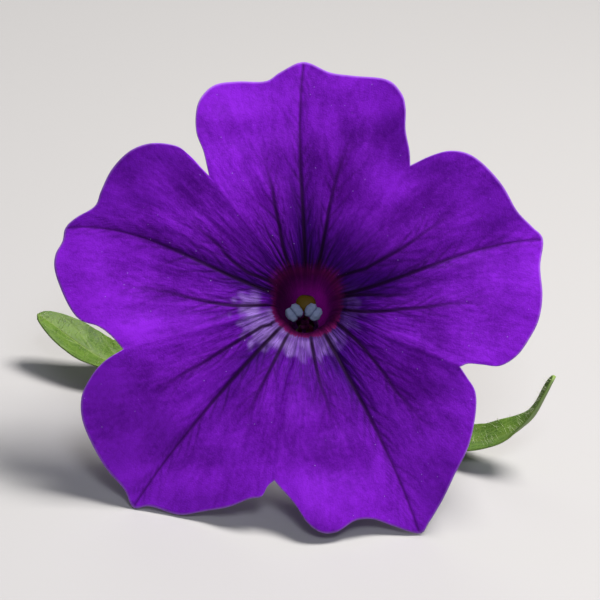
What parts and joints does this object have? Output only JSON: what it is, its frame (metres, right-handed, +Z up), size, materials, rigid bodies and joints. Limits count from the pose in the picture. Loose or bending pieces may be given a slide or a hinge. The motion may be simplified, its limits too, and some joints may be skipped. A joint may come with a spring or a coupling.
{
  "type": "petunia flower",
  "caption": "Picked petunia bloom with a flat, fluted limb, a narrow tube, stamens, pistil and calyx, lying on its stalk with a cut stem and leaves.",
  "frame": {"origin": "on the surface that the bloom lies on, under the middle of its bounding box", "axes": "+Z up, -Y the side that the bloom faces, +X to the right of somebody who looks into the bloom; the cut stem points to +Y"},
  "size_m": [0.0706, 0.088, 0.0537],
  "materials": {
    "petal": "velvety violet petal tissue with dark veins",
    "stamen": "powdery blue-grey pollen sacs on pale filaments",
    "pistil": "moist olive-green stigma, style and ovary",
    "calyx": "soft green with fine sticky hairs",
    "stem": "soft green with fine sticky hairs",
    "leaf": "matt green leaf with sunken veins and fine hairs"
  },
  "bodies": {
    "root": {"corolla": "petal", "stamen_1": "stamen", "stamen_2": "stamen", "stamen_3": "stamen", "stamen_4": "stamen", "stamen_5": "stamen", "pistil": "pistil", "calyx": "calyx", "stalk": "stem", "stem": "stem", "leaf_left": "leaf", "leaf_right": "leaf"}
  },
  "joints": []
}
